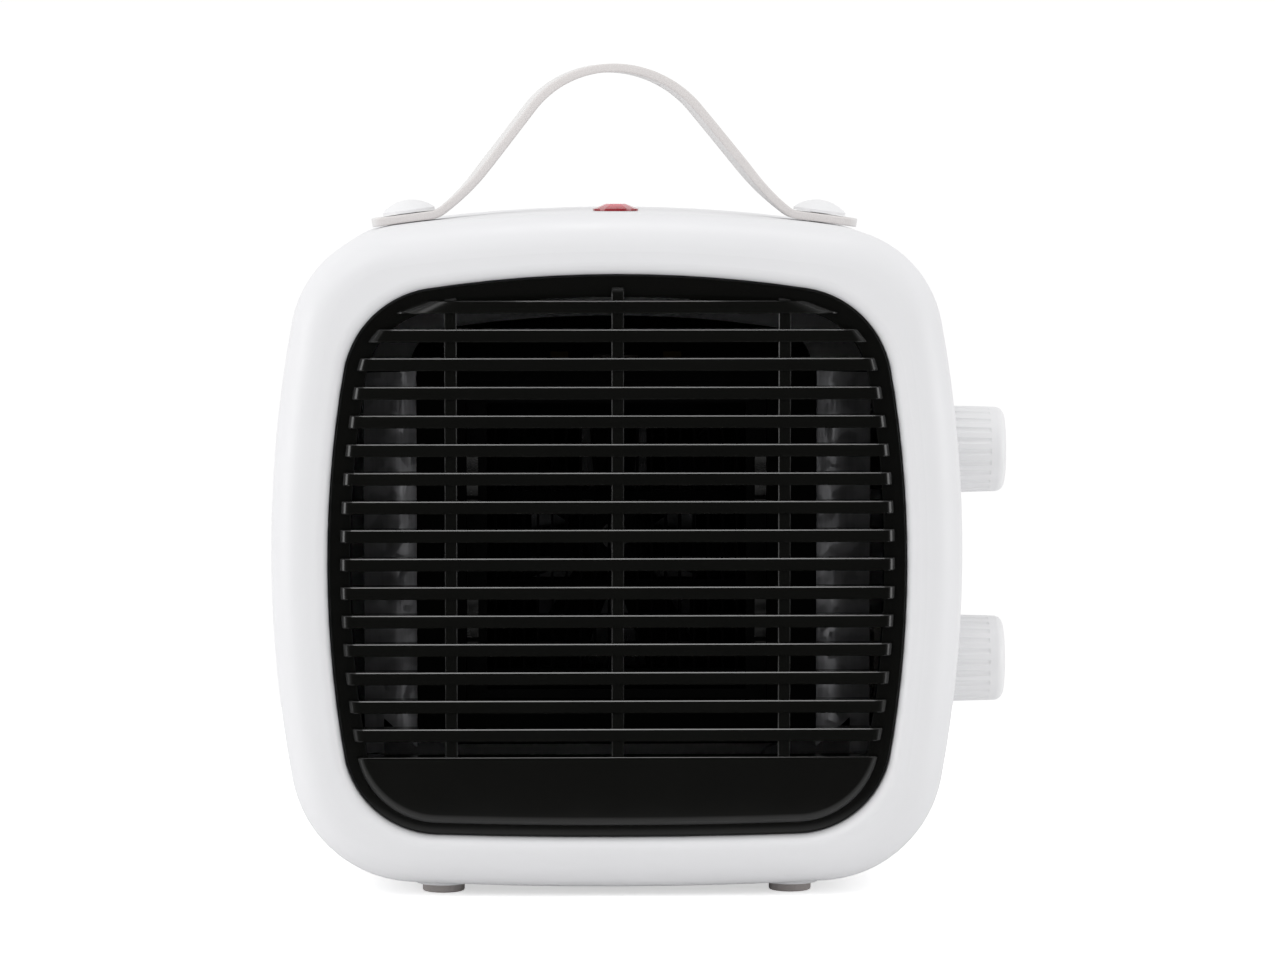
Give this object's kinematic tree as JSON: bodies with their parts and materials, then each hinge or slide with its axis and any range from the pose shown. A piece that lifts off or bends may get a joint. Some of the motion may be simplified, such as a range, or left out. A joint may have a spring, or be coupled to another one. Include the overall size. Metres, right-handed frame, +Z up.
{
  "type": "fan heater",
  "caption": "Portable fan heater: rounded white housing, black slatted grille, carrying strap, signal lamp, side dials and feet.",
  "frame": {"origin": "centre of the whole heater's footprint, knobs included, on the floor that its feet stand on", "axes": "+Z up; the grille faces -Y; the two knobs are on the +X side"},
  "size_m": [0.2601, 0.1516, 0.2906],
  "materials": {
    "housing_white": "satin white moulded plastic",
    "grille_black": "glossy black moulded plastic",
    "intake_white": "satin white moulded plastic",
    "strap_leather": "off-white smooth imitation leather",
    "cap_white": "smooth white plastic",
    "steel_zinc": "zinc-plated steel",
    "steel_bright": "bright steel",
    "lamp_red": "translucent red plastic",
    "lamp_white": "natural plastic",
    "knob_white": "white moulded plastic",
    "control_plastic": "dark moulded plastic",
    "ceramic_white": "plain ceramic",
    "ceramic_dark": "brown ceramic",
    "duct_black": "heat-resistant black plastic",
    "frame_black": "heat-resistant black plastic",
    "aluminium_plain": "plain aluminium",
    "element_dark": "heat-darkened aluminium",
    "filter_foam": "dark open-cell foam",
    "brass_plain": "plain brass",
    "reflector_metal": "smooth dark metal sheet",
    "fan_grey": "dark moulded plastic",
    "stator_steel": "stacked steel sheets",
    "coil_copper": "enamelled copper wire",
    "gland_rubber": "soft light grey rubber",
    "foot_rubber": "grey-beige rubber"
  },
  "bodies": {
    "housing": {"front_shell": "housing_white", "rear_shell": "housing_white", "front_grille": "grille_black", "rear_grille": "intake_white", "intake_filter": "filter_foam", "strap_handle": "strap_leather", "strap_cap_left": "cap_white", "strap_cap_right": "cap_white", "strap_plate_left": "steel_zinc", "strap_plate_right": "steel_zinc", "lamp_lens": "lamp_red", "lamp_body": "lamp_white", "lamp_nut": "steel_zinc", "selector_switch": "control_plastic", "thermostat": "ceramic_white", "control_bracket": "steel_zinc", "air_duct": "duct_black", "heater_frame": "frame_black", "heater_bars": "element_dark", "heater_fins": "element_dark", "heater_clips": "steel_bright", "heater_terminals": "brass_plain", "thermal_cutout": "ceramic_dark", "thermal_fuse": "ceramic_white", "side_reflector_left": "reflector_metal", "side_reflector_right": "reflector_metal", "motor_bracket": "steel_zinc", "motor_stator": "stator_steel", "motor_coil": "coil_copper", "motor_end_plate": "steel_zinc", "motor_bearings": "brass_plain", "cord_gland": "gland_rubber", "terminal_block": "control_plastic", "foot_front_left": "foot_rubber", "foot_front_right": "foot_rubber", "foot_rear_left": "foot_rubber", "foot_rear_right": "foot_rubber", "foot_screws": "steel_zinc", "grille_screws": "steel_zinc", "shell_screws": "steel_zinc", "duct_screws": "steel_zinc", "control_screws": "steel_zinc", "strap_screws": "steel_zinc", "motor_screws": "steel_zinc"},
    "function_dial": {"function_knob": "knob_white", "function_shaft": "control_plastic"},
    "thermostat_dial": {"thermostat_knob": "knob_white", "thermostat_shaft": "steel_bright"},
    "fan": {"fan_wheel": "fan_grey", "fan_nut": "steel_bright", "motor_rotor": "aluminium_plain", "motor_shaft": "steel_bright"}
  },
  "joints": [
    {"name": "function_turn", "type": "hinge", "parent": "housing", "child": "function_dial", "pos_m": [0.12035, -0.008, 0.1525], "axis": [-1, 0, 0], "range_deg": [0, 135]},
    {"name": "thermostat_turn", "type": "hinge", "parent": "housing", "child": "thermostat_dial", "pos_m": [0.12035, -0.008, 0.077], "axis": [-1, 0, 0], "range_deg": [0, 270]},
    {"name": "fan_spin", "type": "hinge", "parent": "housing", "child": "fan", "pos_m": [-0.00965, 0.007, 0.121], "axis": [0, 1, 0], "continuous": true}
  ]
}
